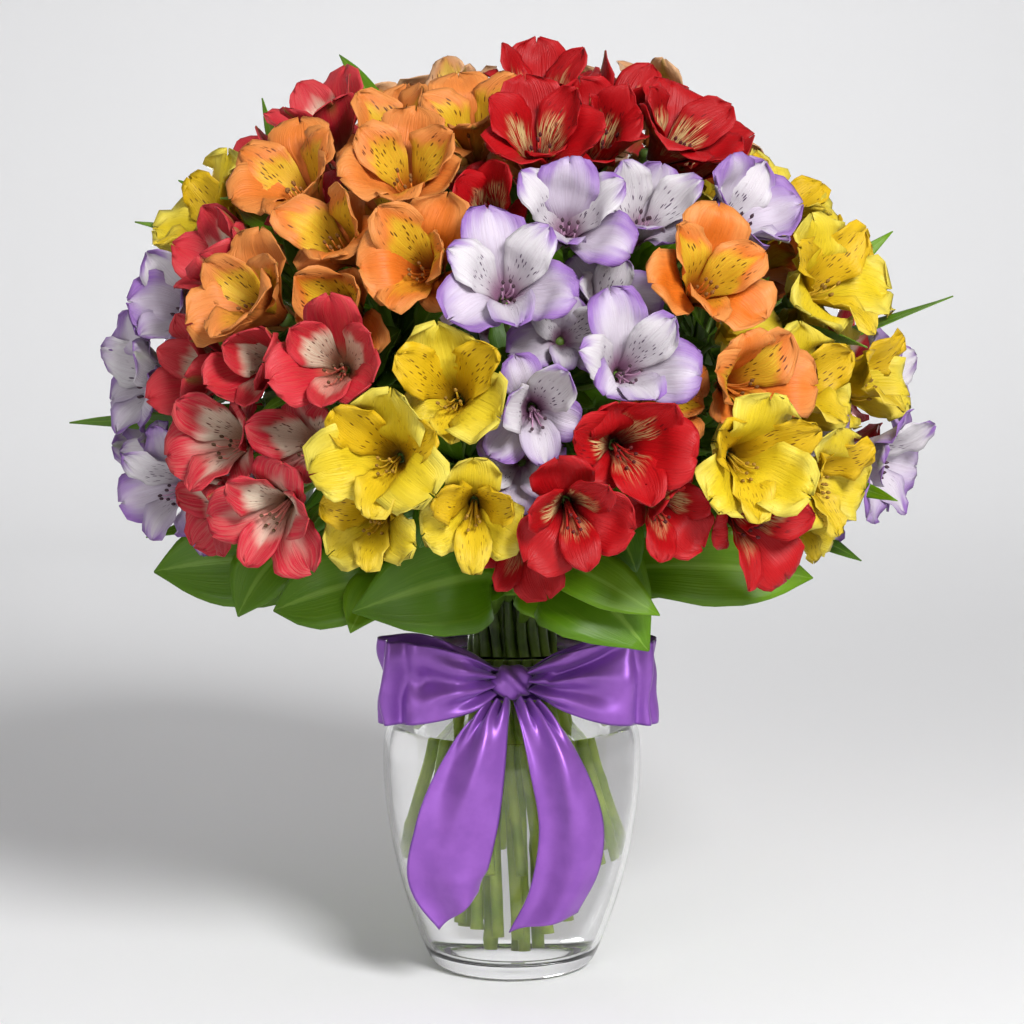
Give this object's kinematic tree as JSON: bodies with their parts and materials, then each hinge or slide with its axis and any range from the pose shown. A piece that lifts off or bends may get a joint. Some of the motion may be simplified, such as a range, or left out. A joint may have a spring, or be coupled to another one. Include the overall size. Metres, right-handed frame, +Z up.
{
  "type": "alstroemeria bouquet in a vase",
  "caption": "Domed bouquet of cut alstroemeria stems in mixed colours, standing in water in a clear glass vase tied with a satin ribbon bow.",
  "frame": {"origin": "middle of the vase's flat base, on the surface it stands on", "axes": "+Z up, the bow at the front towards -Y, +X to the right as seen from the front"},
  "size_m": [0.4008, 0.3706, 0.426],
  "materials": {
    "glass": "clear polished",
    "water": "clear water",
    "ribbon": "satin weave",
    "stem": "fresh green, satin",
    "orange": "soft petal",
    "peach": "soft petal",
    "red": "soft petal",
    "coral": "soft petal",
    "pink": "soft petal",
    "lilac": "soft petal",
    "yellow": "soft petal"
  },
  "bodies": {
    "root": {"vase": "glass", "water": "water", "ribbon_band": "ribbon", "ribbon_knot": "ribbon", "ribbon_loop_left": "ribbon", "ribbon_loop_right": "ribbon", "ribbon_tail_left": "ribbon", "ribbon_tail_right": "ribbon", "stem_orange_left": "stem", "head_orange_left": "orange", "stem_orange_crown": "stem", "head_orange_crown": "orange", "stem_red_crown": "stem", "head_red_crown": "red", "stem_red_right": "stem", "head_red_right": "red", "stem_lilac_crown": "stem", "head_lilac_crown": "lilac", "stem_lilac_middle": "stem", "head_lilac_middle": "lilac", "stem_orange_right": "stem", "head_orange_right": "orange", "stem_yellow_right": "stem", "head_yellow_right": "yellow", "stem_yellow_low_right": "stem", "head_yellow_low_right": "yellow", "stem_lilac_right": "stem", "head_lilac_right": "lilac", "stem_red_low": "stem", "head_red_low": "red", "stem_yellow_low": "stem", "head_yellow_low": "yellow", "stem_pink_low": "stem", "head_pink_low": "pink", "stem_coral_left": "stem", "head_coral_left": "coral", "stem_coral_crown": "stem", "head_coral_crown": "coral", "stem_yellow_left": "stem", "head_yellow_left": "yellow", "stem_lilac_left": "stem", "head_lilac_left": "lilac", "stem_lilac_low_left": "stem", "head_lilac_low_left": "lilac", "stem_pink_back": "stem", "head_pink_back": "pink", "stem_yellow_back": "stem", "head_yellow_back": "yellow", "stem_lilac_back": "stem", "head_lilac_back": "lilac", "stem_red_back": "stem", "head_red_back": "red", "stem_orange_back": "stem", "head_orange_back": "orange", "stem_coral_back": "stem", "head_coral_back": "coral", "stem_peach_back": "stem", "head_peach_back": "peach", "stem_peach_crown": "stem", "head_peach_crown": "peach"}
  },
  "joints": []
}
